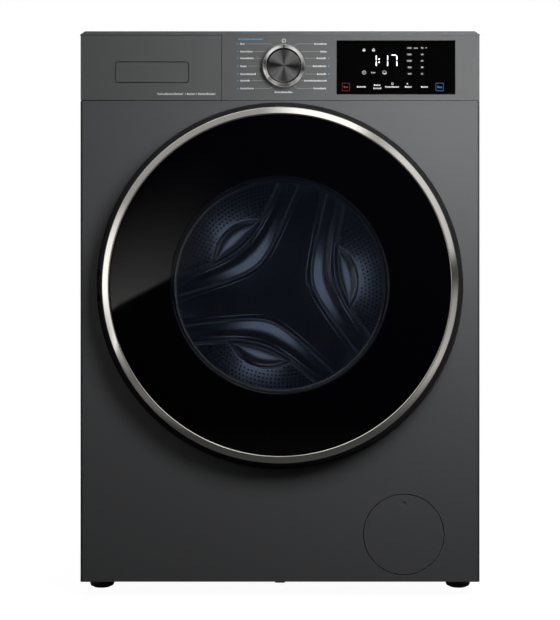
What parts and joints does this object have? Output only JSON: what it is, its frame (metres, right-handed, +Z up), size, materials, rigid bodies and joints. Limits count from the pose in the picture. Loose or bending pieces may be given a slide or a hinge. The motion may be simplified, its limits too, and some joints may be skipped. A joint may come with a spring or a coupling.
{
  "type": "front load washing machine",
  "caption": "Freestanding front loading washing machine with a large round hinged glass door, detergent drawer, programme knob and display.",
  "frame": {"origin": "middle of the footprint, on the floor under the feet", "axes": "+Z up, the door faces -Y, +X is to the right as seen from the front"},
  "size_m": [0.597, 0.59, 0.845],
  "materials": {
    "cabinet_paint": "satin metallic paint",
    "front_paint": "satin metallic paint",
    "rear_steel": "powder coat",
    "lid": "fine grain",
    "fascia": "satin metallic plastic",
    "black_plastic": "moulded",
    "gloss_black": "polished",
    "chrome": "brushed bright ring",
    "spun_metal": "spun",
    "tinted_glass": "tinted, black printed border",
    "clear_glass": "clear",
    "screen_glass": "polished",
    "grey_plastic": "moulded",
    "light_plastic": "moulded",
    "blue_plastic": "moulded",
    "steel": "brushed",
    "zinc": "zinc plated",
    "alloy": "cast",
    "rubber": "moulded",
    "black_rubber": "moulded",
    "concrete": "cast concrete",
    "board": "circuit board",
    "motor_iron": "machined"
  },
  "bodies": {
    "cabinet": {"side_panel_left": "cabinet_paint", "side_panel_right": "cabinet_paint", "front_panel": "front_paint", "rear_panel": "rear_steel", "rear_cover": "rear_steel", "rear_screws": "zinc", "transit_caps": "black_plastic", "inlet_valve": "light_plastic", "drain_outlet": "black_plastic", "cable_gland": "black_plastic", "top_cover": "lid", "base_pan": "black_plastic", "foot_nuts": "zinc", "fascia": "fascia", "display_glass": "screen_glass", "control_board": "board", "dispenser_housing": "light_plastic", "dispenser_hose": "black_rubber", "hinge_bracket": "zinc", "door_lock": "black_plastic", "gasket": "rubber", "suspension_springs": "steel", "damper_cylinders": "black_plastic", "drain_pump": "light_plastic", "sump_hose": "black_rubber"},
    "foot_front_left_body": {"foot_front_left": "black_rubber"},
    "foot_front_right_body": {"foot_front_right": "black_rubber"},
    "foot_rear_left_body": {"foot_rear_left": "black_rubber"},
    "foot_rear_right_body": {"foot_rear_right": "black_rubber"},
    "knob": {"knob_ring": "chrome", "knob_disc": "spun_metal"},
    "drawer": {"drawer_front": "fascia", "drawer_tray": "light_plastic", "siphon_cap": "blue_plastic"},
    "drawer_grip": {"handle_flap": "fascia"},
    "door": {"door_rim": "gloss_black", "door_trim_ring": "chrome", "door_glass": "tinted_glass", "door_bowl": "clear_glass", "door_inner_frame": "black_plastic", "hinge_block": "alloy", "hinge_pin": "steel"},
    "door_hook": {"latch_hook": "zinc"},
    "tub": {"tub_front": "grey_plastic", "tub_rear": "grey_plastic", "front_counterweight": "concrete", "heater": "steel", "drum_bearings": "steel", "damper_rods": "grey_plastic", "motor": "motor_iron", "drive_belt": "black_rubber"},
    "drum": {"drum_shell": "steel", "drum_back": "steel", "drum_lifters": "light_plastic", "drum_spider": "alloy", "drum_pulley": "alloy"},
    "rotor": {"motor_rotor": "steel"},
    "impeller": {"pump_impeller": "blue_plastic"},
    "filter": {"filter_cap": "black_plastic"},
    "flap": {"service_flap": "front_paint"}
  },
  "joints": [
    {"name": "door_swing", "type": "hinge", "parent": "cabinet", "child": "door", "pos_m": [-0.252, -0.271, 0.465], "axis": [0, 0, -1], "range_deg": [0, 155]},
    {"name": "hook_turn", "type": "hinge", "parent": "door", "child": "door_hook", "pos_m": [0.222, -0.26, 0.465], "axis": [0, 0, -1], "range_deg": [0, 8], "stiffness_Nm_per_rad": 0.3},
    {"name": "drawer_slide", "type": "slide", "parent": "cabinet", "child": "drawer", "axis": [0, -1, 0], "range_m": [0, 0.19]},
    {"name": "grip_turn", "type": "hinge", "parent": "drawer", "child": "drawer_grip", "pos_m": [-0.19105, -0.25175, 0.79755], "axis": [1, 0, 0], "range_deg": [0, 18], "stiffness_Nm_per_rad": 0.05},
    {"name": "knob_turn", "type": "hinge", "parent": "cabinet", "child": "knob", "pos_m": [0.0058, -0.259, 0.791], "axis": [0, 1, 0], "continuous": true},
    {"name": "tub_float", "type": "slide", "parent": "cabinet", "child": "tub", "axis": [0, 0, 1], "range_m": [-0.008, 0.008], "stiffness_N_per_m": 9000, "springref_m": 0.02878, "deforming": ["suspension_springs", "dispenser_hose", "sump_hose", "gasket"]},
    {"name": "drum_turn", "type": "hinge", "parent": "tub", "child": "drum", "pos_m": [0, -0.001, 0.465], "axis": [0, 1, 0], "continuous": true},
    {"name": "rotor_turn", "type": "hinge", "parent": "tub", "child": "rotor", "pos_m": [0, 0.189, 0.15], "axis": [0, 1, 0], "continuous": true},
    {"name": "impeller_turn", "type": "hinge", "parent": "cabinet", "child": "impeller", "pos_m": [0.1848, -0.123, 0.0938], "axis": [0, 1, 0], "continuous": true},
    {"name": "filter_turn", "type": "hinge", "parent": "cabinet", "child": "filter", "pos_m": [0.1848, -0.231, 0.0938], "axis": [0, -1, 0], "range_deg": [0, 90]},
    {"name": "flap_turn", "type": "hinge", "parent": "cabinet", "child": "flap", "pos_m": [0.1848, -0.252, 0.0336], "axis": [1, 0, 0], "range_deg": [0, 90]},
    {"name": "level_front_left", "type": "slide", "parent": "cabinet", "child": "foot_front_left_body", "axis": [0, 0, -1], "range_m": [0, 0.015]},
    {"name": "level_front_right", "type": "slide", "parent": "cabinet", "child": "foot_front_right_body", "axis": [0, 0, -1], "range_m": [0, 0.015]},
    {"name": "level_rear_left", "type": "slide", "parent": "cabinet", "child": "foot_rear_left_body", "axis": [0, 0, -1], "range_m": [0, 0.015]},
    {"name": "level_rear_right", "type": "slide", "parent": "cabinet", "child": "foot_rear_right_body", "axis": [0, 0, -1], "range_m": [0, 0.015]}
  ],
  "couplings": [
    {"joint": "rotor_turn", "follows": "drum_turn", "ratio": 10}
  ]
}
